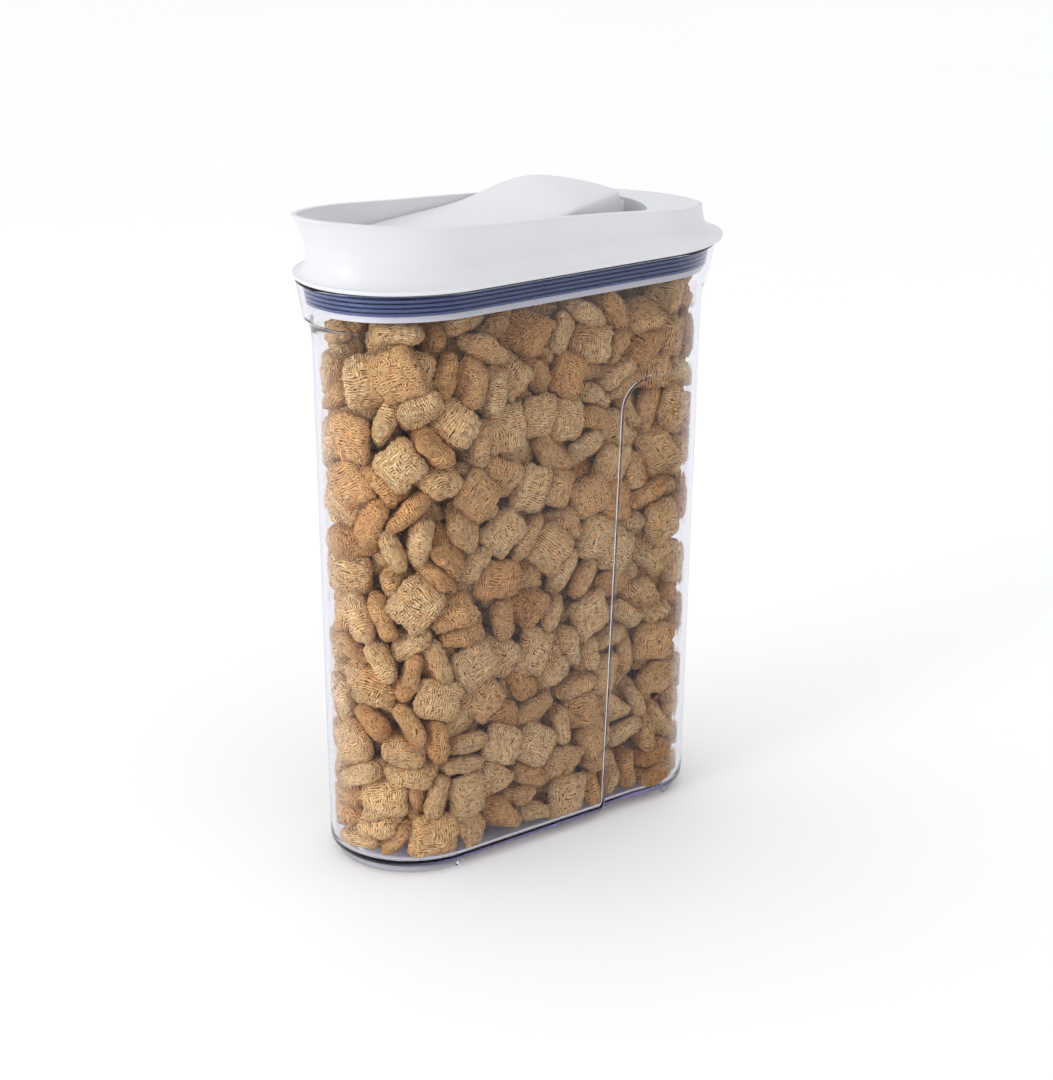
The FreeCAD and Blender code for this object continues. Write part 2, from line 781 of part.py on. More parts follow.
gasket = new_body("lid_gasket")
gasket_low = level - size["gasket_base"]
core = oval(
    size["frame_half_length"] + size["gasket_core"],
    size["frame_half_length"] + size["gasket_core"],
    size["frame_half_width"] + size["gasket_core"],
)
core_sketch = outline_sketch(gasket, "gasket_core_ring", gasket_low, core, seat)
extrude(gasket, "Pad", "gasket_core_pad", core_sketch, size["gasket_base"] - size["gasket_top"])
collar_height = size["collar_top"] - size["collar_level"]
for index in range(FIN_COUNT):
    fin_level = gasket_low + size["fin_pitch"] * index + size["fin_start"]
    fraction = (fin_level - size["collar_level"]) / collar_height
    inset = wall + size["gasket_clearance"]
    reach = blend(collar_low_reach, size["collar_half_length"], fraction) - inset
    width = blend(collar_low_width, size["collar_half_width"], fraction) - inset
    fin_sketch = outline_sketch(gasket, f"fin_ring_{index}", fin_level, oval(reach, reach, width), seat)
    extrude(gasket, "Pad", f"fin_{index}", fin_sketch, size["fin_thickness"])


# Pour flap.
flap = new_body("flap_cover")
flap_low = level + size["flap_bottom"]
flap_shape = Outline(
    full_end(size["flap_front"], size["flap_half_width"]),
    End(size["flap_nose"], -size["flap_taper_start"], size["flap_taper_radius"]),
    size["flap_half_width"],
)
flap_height = size["rim_blank"] - size["flap_bottom"]
extrude(flap, "Pad", "flap_blank", outline_sketch(flap, "flap_outline", flap_low, flap_shape), flap_height)


def crowned_section(body, name, row_sizes, half_width, far_level):
    """An upright section bounded by a crowned arc and closed at another level."""
    y, edge, crown = row_sizes
    sketch = new_sketch(body, name, "XZ_Plane", -y)
    low = (level + edge).value
    high = (level + crown).value
    width = half_width.value
    far = far_level.value
    radius = (width ** 2 + (high - low) ** 2) / (2 * (high - low))
    centre = V(0, high - radius, 0)
    first = math.atan2(low - centre.y, width)
    sketch.addGeometry(arc(centre, radius, first, math.pi - first))
    corners = (V(-width, low, 0), V(-width, far, 0), V(width, far, 0), V(width, low, 0))
    for start, finish in zip(corners, corners[1:]):
        sketch.addGeometry(Part.LineSegment(start, finish))
    for first_item, second_item in ((0, 1), (1, 2), (2, 3)):
        sketch.addConstraint(Sketcher.Constraint("Coincident", first_item, 2, second_item, 1))
    sketch.addConstraint(Sketcher.Constraint("Coincident", 3, 2, 0, 1))
    hold_point(sketch, 0, 1, half_width, level + edge)
    hold_point(sketch, 0, 2, -half_width, level + edge)
    hold_point(sketch, 2, 1, -half_width, far_level)
    hold_point(sketch, 2, 2, half_width, far_level)
    crest = sketch.addGeometry(Part.Point(V(0, high, 0)), True)
    sketch.addConstraint(Sketcher.Constraint("PointOnObject", crest, 1, 0))
    hold_point(sketch, crest, 1, 0.0, level + crown)
    return sketch


top_sketches = []
for row in range(len(FLAP_SECTIONS)):
    row_sizes = [size[f"flap_top_{row}_{column}"] for column in range(3)]
    top_half_width = size["flap_half_width"] + size["flap_top_overcut"]
    top_sketches.append(crowned_section(flap, f"flap_top_{row}", row_sizes, top_half_width, rim_top))
loft(flap, "SubtractiveLoft", "flap_top", top_sketches, False)

hollow_sketches = []
for row in range(len(HOLLOW_SECTIONS)):
    y, half_width, edge, crown = (size[f"hollow_{row}_{column}"] for column in range(4))
    hollow_sketches.append(
        crowned_section(flap, f"flap_hollow_{row}", (y, edge, crown), half_width, level + size["hollow_low"])
    )
loft(flap, "SubtractiveLoft", "flap_hollow", hollow_sketches, False)

slot = new_sketch(flap, "hinge_slot_profile", "YZ_Plane", 0.0)
slot_half = size["bracket_half_width"] + size["slot_side_clearance"]
slot_radius = size["bracket_radius"] + size["slot_clearance"]
slot_front = size["hollow_6_0"] - size["slot_mouth"]
slot_rear = size["hinge_y"] + slot_radius + size["slot_rear_relief"]
slot_low = flap_low - size["slot_mouth"]
slot_top = axis_level + slot_radius
draw_polygon(
    slot,
    (
        (slot_front, slot_low),
        (slot_rear, slot_low),
        (slot_rear, slot_top),
        (slot_front, slot_top),
    ),
)
extrude(flap, "Pocket", "hinge_slot", slot, slot_half * 2, symmetric=True)
flap_bore = new_sketch(flap, "flap_bore", "YZ_Plane", 0.0)
draw_circle(flap_bore, size["hinge_y"], axis_level, size["pin_radius"])
extrude(flap, "Pocket", "flap_pin_hole", flap_bore, size["pin_half_length"] * 2, symmetric=True)


# Flap liner, its gasket and the hinge pin.
def plug_outline(inset):
    """Outline of the flap's underside pieces, measured inwards from the pour throat."""
    return throat_outline(-inset)


liner = new_body("flap_liner")
plate_low = flap_low - size["liner_thickness"]
plate_sketch = outline_sketch(liner, "liner_plate", plate_low, plug_outline(size["liner_gap"]))
extrude(liner, "Pad", "liner_plate_pad", plate_sketch, size["liner_thickness"])
plug_low = level - size["plug_depth"]
plug_sketch = outline_sketch(
    liner,
    "plug_ring",
    plug_low,
    plug_outline(size["plug_gap"]),
    plug_outline(size["plug_gap"] + size["plug_wall"]),
)
extrude(liner, "Pad", "plug_pad", plug_sketch, plate_low - plug_low + size["merge"])

flap_gasket = new_body("flap_gasket")
seal_sketch = outline_sketch(
    flap_gasket,
    "flap_gasket_ring",
    level + size["flap_gasket_base"],
    plug_outline(size["flap_gasket_gap"]),
    plug_outline(size["plug_gap"]),
)
extrude(flap_gasket, "Pad", "flap_gasket_pad", seal_sketch, size["flap_gasket_height"])

pin = new_body("hinge_pin")
pin_sketch = new_sketch(pin, "pin_profile", "YZ_Plane", 0.0)
draw_circle(pin_sketch, size["hinge_y"], axis_level, size["pin_radius"])
pin_pad = extrude(pin, "Pad", "pin_pad", pin_sketch, size["pin_half_length"] * 2, symmetric=True)
doc.recompute()
pin_ends = [
    f"Edge{i}"
    for i, edge in enumerate(pin_pad.Shape.Edges, start=1)
    if edge.BoundBox.XLength < 0.01
]
pin_chamfer = pin.newObject("PartDesign::Chamfer", "pin_chamfer")
pin_chamfer.Base = (pin_pad, pin_ends)
pin_chamfer.Size = DIMENSIONS["pin_chamfer"]
pin_chamfer.setExpression("Size", "sheet.pin_chamfer")

doc.recompute()

# Check every object, then write one file per piece.
for item in doc.Objects:
    if any(word in item.State for word in ("Invalid", "Error")):
        raise RuntimeError(f"{item.Name} did not build: {item.State}")
bodies = doc.findObjects("PartDesign::Body")
for body in bodies:
    if body.Shape.isNull() or not body.Shape.isValid() or len(body.Shape.Solids) != 1:
        raise RuntimeError(f"{body.Label} is not one valid solid")

os.makedirs("parts", exist_ok=True)
for body in bodies:
    body.Shape.exportStep(f"parts/{body.Label}.step")
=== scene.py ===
"""Looks of the pour-top food canister: clear tank, white lid with its pour flap, seal, and cereal inside."""

import math

import bmesh
import bpy
import numpy as np
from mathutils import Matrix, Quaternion, Vector


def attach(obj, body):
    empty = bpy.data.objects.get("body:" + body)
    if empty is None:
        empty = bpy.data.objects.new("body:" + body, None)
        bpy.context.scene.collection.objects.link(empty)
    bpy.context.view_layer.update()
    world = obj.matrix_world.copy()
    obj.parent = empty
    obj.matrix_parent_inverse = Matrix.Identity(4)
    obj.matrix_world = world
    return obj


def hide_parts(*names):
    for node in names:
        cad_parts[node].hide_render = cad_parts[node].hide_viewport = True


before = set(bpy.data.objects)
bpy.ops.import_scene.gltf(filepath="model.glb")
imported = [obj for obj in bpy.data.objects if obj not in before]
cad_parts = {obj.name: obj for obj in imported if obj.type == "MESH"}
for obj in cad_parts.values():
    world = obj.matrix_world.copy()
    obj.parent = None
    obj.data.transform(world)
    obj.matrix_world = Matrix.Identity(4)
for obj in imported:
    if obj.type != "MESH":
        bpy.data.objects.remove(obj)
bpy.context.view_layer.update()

MM = 0.001
LID_LEVEL = 240.0
CENTRE_SHIFT = 0.48
STRAIGHT = 50.0
FULLNESS = 1.12
CAMERA_ROLL = 0.28
WELD_DISTANCE = 0.02


# --- Camera, floor and light ---------------------------------------------------------------


def make_camera():
    """Three quarters from the front right, a little above the lid."""
    camera_data = bpy.data.cameras.new("camera")
    camera_data.sensor_fit = "HORIZONTAL"
    camera_data.sensor_width = 36.0
    camera_data.lens = 85.54
    camera_data.clip_start = 0.01
    camera = bpy.data.objects.new("camera", camera_data)
    bpy.context.scene.collection.objects.link(camera)
    camera.location = Vector((765.3, -602.6, 450.0)) * MM
    target = Vector((2.7, 6.1, 120.2)) * MM
    look = (target - camera.location).normalized()
    roll = Quaternion((0.0, 0.0, 1.0), math.radians(CAMERA_ROLL))
    camera.rotation_mode = "QUATERNION"
    camera.rotation_quaternion = look.to_track_quat("-Z", "Y") @ roll
    bpy.context.scene.camera = camera


def make_stage():
    """A pale floor in a bright room, with a tall soft lamp in front of the spout."""
    bpy.ops.mesh.primitive_plane_add(size=40.0, location=(0.0, 0.0, 0.0))
    floor = bpy.context.active_object
    floor.name = "floor"
    material, shader, tree = new_material("floor_white")
    noise_colour(tree, shader, 3.0, (0.985, 0.985, 0.985), (0.995, 0.995, 0.995))
    shader.inputs["Roughness"].default_value = 0.6
    shader.inputs["Specular IOR Level"].default_value = 0.2
    floor.data.materials.append(material)

    world = bpy.data.worlds.new("room")
    bpy.context.scene.world = world
    world.use_nodes = True
    tree = world.node_tree
    background = tree.nodes["Background"]
    background.inputs["Color"].default_value = (0.985, 0.99, 1.0, 1.0)
    direction = tree.nodes.new("ShaderNodeTexCoord")
    towards = tree.nodes.new("ShaderNodeVectorMath")
    towards.operation = "DOT_PRODUCT"
    towards.inputs[1].default_value = (-0.2, -0.5, 0.84)
    level = tree.nodes.new("ShaderNodeMath")
    level.operation = "MULTIPLY_ADD"
    level.inputs[1].default_value = 0.16
    level.inputs[2].default_value = 0.92
    tree.links.new(direction.outputs["Generated"], towards.inputs[0])
    tree.links.new(towards.outputs["Value"], level.inputs[0])
    tree.links.new(level.outputs["Value"], background.inputs["Strength"])
    softbox_data = bpy.data.lights.new("softbox", "AREA")
    softbox_data.shape = "RECTANGLE"
    softbox_data.size = 0.4
    softbox_data.size_y = 1.3
    softbox_data.energy = 7.5
    softbox = bpy.data.objects.new("softbox", softbox_data)
    bpy.context.scene.collection.objects.link(softbox)
    softbox.location = (0.15, -1.5, 0.55)
    softbox.rotation_mode = "QUATERNION"
    softbox.rotation_quaternion = Vector((-0.10, 1.0, -0.27)).to_track_quat("-Z", "Y")
    bpy.context.scene.view_settings.view_transform = "Standard"


# --- Materials -----------------------------------------------------------------------------


def new_material(name):
    """A node material, its shader and its tree."""
    material = bpy.data.materials.new(name)
    material.use_nodes = True
    tree = material.node_tree
    return material, tree.nodes["Principled BSDF"], tree


def noise_colour(tree, shader, scale, dark, light, socket="Base Color", detail=4.0):
    """Vary a colour between two tones with soft noise in object space."""
    coordinates = tree.nodes.new("ShaderNodeTexCoord")
    noise = tree.nodes.new("ShaderNodeTexNoise")
    noise.inputs["Scale"].default_value = scale
    noise.inputs["Detail"].default_value = detail
    ramp = tree.nodes.new("ShaderNodeValToRGB")
    ramp.color_ramp.elements[0].position = 0.3
    ramp.color_ramp.elements[1].position = 0.7
    ramp.color_ramp.elements[0].color = (*dark, 1.0)
    ramp.color_ramp.elements[1].color = (*light, 1.0)
    tree.links.new(coordinates.outputs["Object"], noise.inputs["Vector"])
    tree.links.new(noise.outputs["Fac"], ramp.inputs["Fac"])
    tree.links.new(ramp.outputs["Color"], shader.inputs[socket])
    return noise


def noise_bump(tree, shader, scale, distance, strength=0.3):
    """Fine surface grain."""
    coordinates = tree.nodes.new("ShaderNodeTexCoord")
    noise = tree.nodes.new("ShaderNodeTexNoise")
    noise.inputs["Scale"].default_value = scale
    bump = tree.nodes.new("ShaderNodeBump")
    bump.inputs["Distance"].default_value = distance
    bump.inputs["Strength"].default_value = strength
    tree.links.new(coordinates.outputs["Object"], noise.inputs["Vector"])
    tree.links.new(noise.outputs["Fac"], bump.inputs["Height"])
    tree.links.new(bump.outputs["Normal"], shader.inputs["Normal"])


def white_plastic():
    """Satin white moulded plastic."""
    material, shader, tree = new_material("white_plastic")
    noise_colour(tree, shader, 30.0, (0.690, 0.696, 0.716), (0.708, 0.714, 0.734))
    noise_bump(tree, shader, 900.0, 0.00003, 0.08)
    shader.inputs["Roughness"].default_value = 0.36
    shader.inputs["IOR"].default_value = 1.48
    return material


def clear_plastic():
    """Clear rigid plastic, faintly violet where it is thick; it lets lamp light through."""
    material, shader, tree = new_material("clear_plastic")
    noise_colour(tree, shader, 12.0, (0.985, 0.985, 0.99), (0.995, 0.995, 1.0))
    shader.inputs["Roughness"].default_value = 0.0
    shader.inputs["IOR"].default_value = 1.45
    shader.inputs["Specular Tint"].default_value = (0.20, 0.20, 0.24, 1.0)
    shader.inputs["Transmission Weight"].default_value = 1.0
    output = tree.nodes["Material Output"]
    path = tree.nodes.new("ShaderNodeLightPath")
    clear = tree.nodes.new("ShaderNodeBsdfTransparent")
    clear.inputs["Color"].default_value = (0.98, 0.98, 0.985, 1.0)
    mix = tree.nodes.new("ShaderNodeMixShader")
    tree.links.new(path.outputs["Is Shadow Ray"], mix.inputs["Fac"])
    tree.links.new(shader.outputs["BSDF"], mix.inputs[1])
    tree.links.new(clear.outputs["BSDF"], mix.inputs[2])
    tree.links.new(mix.outputs["Shader"], output.inputs["Surface"])
    absorb = tree.nodes.new("ShaderNodeVolumeAbsorption")
    absorb.inputs["Color"].default_value = (0.55, 0.50, 0.78, 1.0)
    absorb.inputs["Density"].default_value = 42.0
    tree.links.new(absorb.outputs["Volume"], output.inputs["Volume"])
    return material


def grey_silicone():
    """Matte blue-grey silicone."""
    material, shader, tree = new_material("grey_silicone")
    noise_colour(tree, shader, 60.0, (0.060, 0.094, 0.230), (0.078, 0.116, 0.265))
    noise_bump(tree, shader, 1500.0, 0.00003, 0.2)
    shader.inputs["Roughness"].default_value = 0.42
    return material


def pin_steel():
    """Drawn steel wire."""
    material, shader, tree = new_material("pin_steel")
    noise_colour(tree, shader, 400.0, (0.50, 0.50, 0.52), (0.62, 0.62, 0.64))
    shader.inputs["Metallic"].default_value = 1.0
    shader.inputs["Roughness"].default_value = 0.3
    return material


def wheat_strands(tree, place, direction):
    """Wavy strands side by side: bands bent by noise, broken up by a finer noise."""
    wave = tree.nodes.new("ShaderNodeTexWave")
    wave.wave_type = "BANDS"
    wave.bands_direction = direction
    wave.inputs["Scale"].default_value = 0.31
    wave.inputs["Distortion"].default_value = 10.0
    wave.inputs["Detail"].default_value = 3.0
    wave.inputs["Detail Scale"].default_value = 0.75
    wave.inputs["Detail Roughness"].default_value = 0.55
    broken = tree.nodes.new("ShaderNodeTexNoise")
    broken.inputs["Scale"].default_value = 0.55
    broken.inputs["Detail"].default_value = 1.0
    blend = tree.nodes.new("ShaderNodeMath")
    blend.operation = "MULTIPLY_ADD"
    blend.inputs[1].default_value = 0.85
    shift = tree.nodes.new("ShaderNodeMath")
    shift.operation = "MULTIPLY_ADD"
    shift.inputs[1].default_value = 1.5
    shift.inputs[2].default_value = -0.56
    tree.links.new(place, wave.inputs["Vector"])
    tree.links.new(place, broken.inputs["Vector"])
    tree.links.new(broken.outputs["Fac"], shift.inputs[0])
    tree.links.new(wave.outputs["Fac"], blend.inputs[0])
    tree.links.new(shift.outputs[0], blend.inputs[2])
    return blend.outputs[0]


def baked_wheat():
    """Toasted shredded wheat: fine woven strands with painted shade in the gaps between them and a painted
    highlight on their tops, browner where it is most baked.
    """
    material, shader, tree = new_material("baked_wheat")
    local = tree.nodes.new("ShaderNodeAttribute")
    local.attribute_name = "grain"
    tone = tree.nodes.new("ShaderNodeAttribute")
    tone.attribute_name = "toast"
    patches = tree.nodes.new("ShaderNodeTexNoise")
    patches.inputs["Scale"].default_value = 0.13
    patches.inputs["Detail"].default_value = 2.0
    tree.links.new(local.outputs["Vector"], patches.inputs["Vector"])
    along = wheat_strands(tree, local.outputs["Vector"], "X")
    across = wheat_strands(tree, local.outputs["Vector"], "Y")
    choose = tree.nodes.new("ShaderNodeMapRange")
    choose.inputs["From Min"].default_value = 0.53
    choose.inputs["From Max"].default_value = 0.57
    strands = tree.nodes.new("ShaderNodeMix")
    strands.data_type = "FLOAT"
    tree.links.new(patches.outputs["Fac"], choose.inputs["Value"])
    tree.links.new(choose.outputs["Result"], strands.inputs[0])
    tree.links.new(along, strands.inputs[2])
    tree.links.new(across, strands.inputs[3])
    # Strand height picks the colour. The dark low end is painted shade in the gaps between strands, and the
    # bright top end is a painted highlight on the strand tops. The middle is the wheat's own colour.
    ramp = tree.nodes.new("ShaderNodeValToRGB")
    ramp.color_ramp.elements[0].position = 0.0
    ramp.color_ramp.elements[0].color = (0.07, 0.017, 0.004, 1.0)
    ramp.color_ramp.elements[1].position = 0.95
    ramp.color_ramp.elements[1].color = (1.0, 0.81, 0.45, 1.0)
    middle = ramp.color_ramp.elements.new(0.35)
    middle.color = (0.99, 0.47, 0.125, 1.0)
    shade = tree.nodes.new("ShaderNodeValToRGB")
    shade.color_ramp.elements[0].color = (1.0, 1.0, 1.0, 1.0)
    shade.color_ramp.elements[1].color = (0.84, 0.66, 0.48, 1.0)
    toast = tree.nodes.new("ShaderNodeMix")
    toast.data_type = "RGBA"
    toast.blend_type = "MULTIPLY"
    toast.inputs["Factor"].default_value = 1.0
    tree.links.new(strands.outputs[0], ramp.inputs["Fac"])
    tree.links.new(tone.outputs["Fac"], shade.inputs["Fac"])
    tree.links.new(ramp.outputs["Color"], toast.inputs["A"])
    tree.links.new(shade.outputs["Color"], toast.inputs["B"])
    tree.links.new(toast.outputs["Result"], shader.inputs["Base Color"])
    bump = tree.nodes.new("ShaderNodeBump")
    bump.inputs["Distance"].default_value = 0.0008
    bump.inputs["Strength"].default_value = 0.9
    tree.links.new(strands.outputs[0], bump.inputs["Height"])
    tree.links.new(bump.outputs["Normal"], shader.inputs["Normal"])
    shader.inputs["Roughness"].default_value = 0.75
    return material


# --- Plan outlines -------------------------------------------------------------------------

SIDE_POINTS = 196
SHOULDER_POINTS = 20
NOSE_POINTS = 24


class End:
    """One end of an outline: its reach, where it leaves the straight side, its shoulder radius."""

    def __init__(self, reach, straight, shoulder):
        self.reach = reach
        self.straight = straight
        self.shoulder = shoulder


def full_end(reach, half_width):
    """The softly pointed end used by the tank and the lid."""
    depth = reach - STRAIGHT
    shoulder = (half_width ** 2 + depth ** 2) / (2 * half_width) * FULLNESS
    return End(reach, STRAIGHT, shoulder)


def end_points(end, half_width, facing):
    """Points round one end, from its right side to its left side."""
    depth = end.reach - end.straight
    spread = (end.shoulder - half_width) ** 2 + depth ** 2 - end.shoulder ** 2
    nose = spread / (2 * (depth - end.shoulder))
    nose_centre = np.array((0.0, end.reach - nose))
    centre = np.array((half_width - end.shoulder, end.straight))
    turn = (nose_centre - centre) / (end.shoulder - nose)
    angle = math.atan2(turn[1], turn[0])
    steps = np.linspace(0.0, angle, SHOULDER_POINTS, endpoint=False)
    right = centre + end.shoulder * np.column_stack((np.cos(steps), np.sin(steps)))
    steps = np.linspace(angle, math.pi - angle, NOSE_POINTS, endpoint=False)
    tip = nose_centre + nose * np.column_stack((np.cos(steps), np.sin(steps)))
    steps = np.linspace(angle, 0.0, SHOULDER_POINTS, endpoint=False)
    left = centre + end.shoulder * np.column_stack((np.cos(steps), np.sin(steps)))
    left[:, 0] *= -1
    points = np.vstack((right, tip, left))
    points[:, 1] *= facing
    return points


def outline(front, rear, half_width):
    """A closed ring of plan points, anticlockwise from the right side's front corner."""
    along = np.linspace(-front.straight, rear.straight, SIDE_POINTS, endpoint=False)
    right = np.column_stack((np.full(SIDE_POINTS, half_width), along))
    rear_end = end_points(rear, half_width, 1)
    along = np.linspace(rear.straight, -front.straight, SIDE_POINTS, endpoint=False)
    left = np.column_stack((np.full(SIDE_POINTS, -half_width), along))
    front_end = end_points(front, half_width, -1) * (-1, 1)
    return np.vstack((right, rear_end, left, front_end))


def oval(front, rear, half_width):
    """The rounded oval shared by the tank and the lid."""
    return outline(full_end(front, half_width), full_end(rear, half_width), half_width)


def at_height(ring, height):
    """Lift a plan ring to a height, which may be one number or one per point."""
    heights = np.broadcast_to(height, (len(ring),))
    return np.column_stack((ring, heights))


def smooth_step(value, low, high):
    """0 below low, 1 above high, smooth between."""
    share = np.clip((value - low) / (high - low), 0.0, 1.0)
    return share * share * (3 - 2 * share)


def smooth_curve(x, knots_x, knots_y):
    """A smooth curve through knots (cubic Hermite with centred slopes)."""
    knots_x = np.asarray(knots_x, float)
    knots_y = np.asarray(knots_y, float)
    slopes = np.gradient(knots_y, knots_x)
    x = np.clip(x, knots_x[0], knots_x[-1])
    index = np.clip(np.searchsorted(knots_x, x) - 1, 0, len(knots_x) - 2)
    span = knots_x[index + 1] - knots_x[index]
    t = (x - knots_x[index]) / span
    start = (2 * t ** 3 - 3 * t ** 2 + 1) * knots_y[index]
    start += (t ** 3 - 2 * t ** 2 + t) * span * slopes[index]
    finish = (3 * t ** 2 - 2 * t ** 3) * knots_y[index + 1]
    finish += (t ** 3 - t ** 2) * span * slopes[index + 1]
    return start + finish


# --- Mesh building -------------------------------------------------------------------------


def mesh_object(name, points, faces, material, sharp_angle=35.0, weld=False):
    """A smooth-shaded mesh given in millimetres, with its hard edges kept."""
    mesh = bpy.data.meshes.new(name)
    placed = np.asarray(points, float) + (0.0, CENTRE_SHIFT, 0.0)
    mesh.from_pydata((placed * MM).tolist(), [], faces)
    if weld:
        joined = bmesh.new()
        joined.from_mesh(mesh)
        bmesh.ops.remove_doubles(joined, verts=joined.verts, dist=WELD_DISTANCE * MM)
        joined.to_mesh(mesh)
        joined.free()
    mesh.update()
    mesh.polygons.foreach_set("use_smooth", [True] * len(mesh.polygons))
    mesh.set_sharp_from_angle(angle=math.radians(sharp_angle))
    mesh.materials.append(material)
    piece = bpy.data.objects.new(name, mesh)
    bpy.context.scene.collection.objects.link(piece)
    return piece


def ring_faces(ring_count, ring_size, close_loop):
    """Quads between neighbouring rings; close_loop also joins the last ring to the first."""
    faces = []
    pairs = [(i, i + 1) for i in range(ring_count - 1)]
    if close_loop:
        pairs.append((ring_count - 1, 0))
    for low, high in pairs:
        below = low * ring_size
        above = high * ring_size
        for i in range(ring_size):
            j = (i + 1) % ring_size
            faces.append((below + i, below + j, above + j, above + i))
    return faces


def loop_object(name, rings, material, close_loop=True, cap_first=False, cap_last=False, weld=False):
    """A mesh through a row of rings with equal point counts."""
    size = len(rings[0])
    faces = ring_faces(len(rings), size, close_loop)
    if cap_first:
        faces.append(tuple(reversed(range(size))))
    if cap_last:
        start = (len(rings) - 1) * size
        faces.append(tuple(range(start, start + size)))
    return mesh_object(name, np.vstack(rings), faces, material, weld=weld)


# --- Tank ----------------------------------------------------------------------------------

FOOT = 3.0
FOOT_GAP_FRONT = 50.0
FOOT_GAP_REAR = 61.0
NECK_LEVEL = 212.0
COLLAR_LEVEL = 224.6
COLLAR_TOP = 239.6
WALL = 2.0
TANK_LOW = (85.5, 33.7)
TANK_HIGH = (88.6, 36.8)
COLLAR_SIZE = (93.0, 37.6)
COLLAR_FLARE = 2.6
GRIP_DEPTH = 2.8
GRIP_TOP = 190.0
GRIP_CORNER = 12.0
GRIP_FRONT = 24.0
GRIP_LEAN = 6.0
GRIP_FADE_START = 42.0
GRIP_FADE_END = 66.0
FLOOR_THICKNESS = 2.5
FLOOR_CORNER = 3.0


def tank_size(z):
    """Half length and half width of the tank's outer face at a height."""
    share = np.clip((z - FOOT) / (NECK_LEVEL - FOOT), 0.0, 1.0)
    reach, width = (low + (high - low) * share for low, high in zip(TANK_LOW, TANK_HIGH))
    if z > NECK_LEVEL:
        rise = min((z - NECK_LEVEL) / (COLLAR_LEVEL - NECK_LEVEL), 1.0)
        flare = smooth_curve(rise, (0.0, 0.35, 0.68, 0.88, 1.0), (0.0, 0.08, 0.30, 0.60, 1.0))
        reach += (COLLAR_SIZE[0] - reach) * flare
        width += (COLLAR_SIZE[1] - width) * flare
    if z > COLLAR_LEVEL:
        rise = (z - COLLAR_LEVEL) / (COLLAR_TOP - COLLAR_LEVEL)
        reach += COLLAR_FLARE * rise
        width += COLLAR_FLARE * rise
    return float(reach), float(width)


def grip_mask(points, z):
    """How much of the grip recess each point of a tank ring feels, from 0 to 1."""
    y = points[:, 1]
    front = GRIP_FRONT + GRIP_LEAN * z / GRIP_TOP
    climb = np.clip(z - (GRIP_TOP - GRIP_CORNER), 0.0, GRIP_CORNER)
    corner = GRIP_CORNER - math.sqrt(GRIP_CORNER ** 2 - climb ** 2)
    start = smooth_step(y, front + corner - 1.8, front + corner + 2.2)
    stop = 1.0 - smooth_step(y, GRIP_FADE_START, GRIP_FADE_END)
    top = 1.0 - smooth_step(z, GRIP_TOP - 2.0, GRIP_TOP + 2.0)
    on_side = np.abs(points[:, 0]) > 20.0
    return start * stop * top * on_side


def tank_ring(z, inset):
    """One ring of the tank's wall at a height."""
    reach, width = tank_size(z)
    points = oval(reach - inset, reach - inset, width - inset)
    points[:, 0] -= np.sign(points[:, 0]) * GRIP_DEPTH * grip_mask(points, z)
    return at_height(points, z)


def underside(inset):
    """A ring of the underside: flat, but lowered to the ground in the foot band at each end."""
    ring = tank_ring(FOOT, inset)
    band = smooth_step(inset, 2.2, 3.2) * (1.0 - smooth_step(inset, 6.8, 8.0))
    ends = smooth_step(-ring[:, 1], FOOT_GAP_FRONT - 0.8, FOOT_GAP_FRONT + 0.8)
    ends += smooth_step(ring[:, 1], FOOT_GAP_REAR - 0.8, FOOT_GAP_REAR + 0.8)
    ring[:, 2] = FOOT - FOOT * band * ends
    return ring


def make_tank(material):
    """The clear tank, as one closed skin."""
    rings = []
    for inset in (14.0, 8.4, 8.0, 7.4, 6.8, 6.2, 5.0, 3.8, 3.2, 2.7, 2.2):
        rings.append(underside(inset + 1.4))
    for angle in np.linspace(0.0, 90.0, 9):
        inset = 4.0 * (1 - math.sin(math.radians(angle)))
        z = FOOT + 4.0 * (1 - math.cos(math.radians(angle)))
        rings.append(tank_ring(z, inset))
    wall_levels = list(np.linspace(12.0, 174.0, 24)) + list(np.linspace(175.5, GRIP_TOP + 2.2, 30))
    neck_levels = list(np.linspace(196.0, NECK_LEVEL, 4)) + list(np.linspace(214.0, COLLAR_LEVEL, 12))
    collar_levels = [COLLAR_LEVEL + 0.6, 228.0, 232.0, 236.0, COLLAR_TOP - 0.8]
    levels = wall_levels + neck_levels + collar_levels
    rings += [tank_ring(z, 0.0) for z in levels]
    for angle in np.linspace(0.0, 180.0, 7):
        inset = WALL / 2 * (1 - math.cos(math.radians(angle)))
        z = COLLAR_TOP - 0.8 + 0.8 * math.sin(math.radians(angle))
        ring = tank_ring(COLLAR_TOP, inset)
        ring[:, 2] = z
        rings.append(ring)
    rings += [tank_ring(z, WALL) for z in reversed(levels)]
    for angle in np.linspace(0.0, 90.0, 7):
        inset = WALL + FLOOR_CORNER * (1 - math.cos(math.radians(angle)))
        z = FOOT + FLOOR_THICKNESS + FLOOR_CORNER * (1 - math.sin(math.radians(angle)))
        rings.append(tank_ring(z, inset))
    tank = loop_object("tank", rings, material, close_loop=False, cap_first=True, cap_last=True)
    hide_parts("container_body")
    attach(tank, "container")


# --- Lid -----------------------------------------------------------------------------------

WAIST = 9.0
LIP = 1.6
WELL_FLOOR = 7.5
WELL_HALF_WIDTH = 28.5
RECESS_FLOOR = 3.0
KNEE_Y = -30.0
KNEE_HEIGHT = 21.3
KNEE_SLOPE = -0.0412
KNEE_RADIUS_FRONT = 860.0
KNEE_RADIUS_REAR = 1878.0
THROAT_FRONT = 78.5
THROAT_HALF_WIDTH = 23.5
FLANGE = (96.3, 99.8, 41.5)


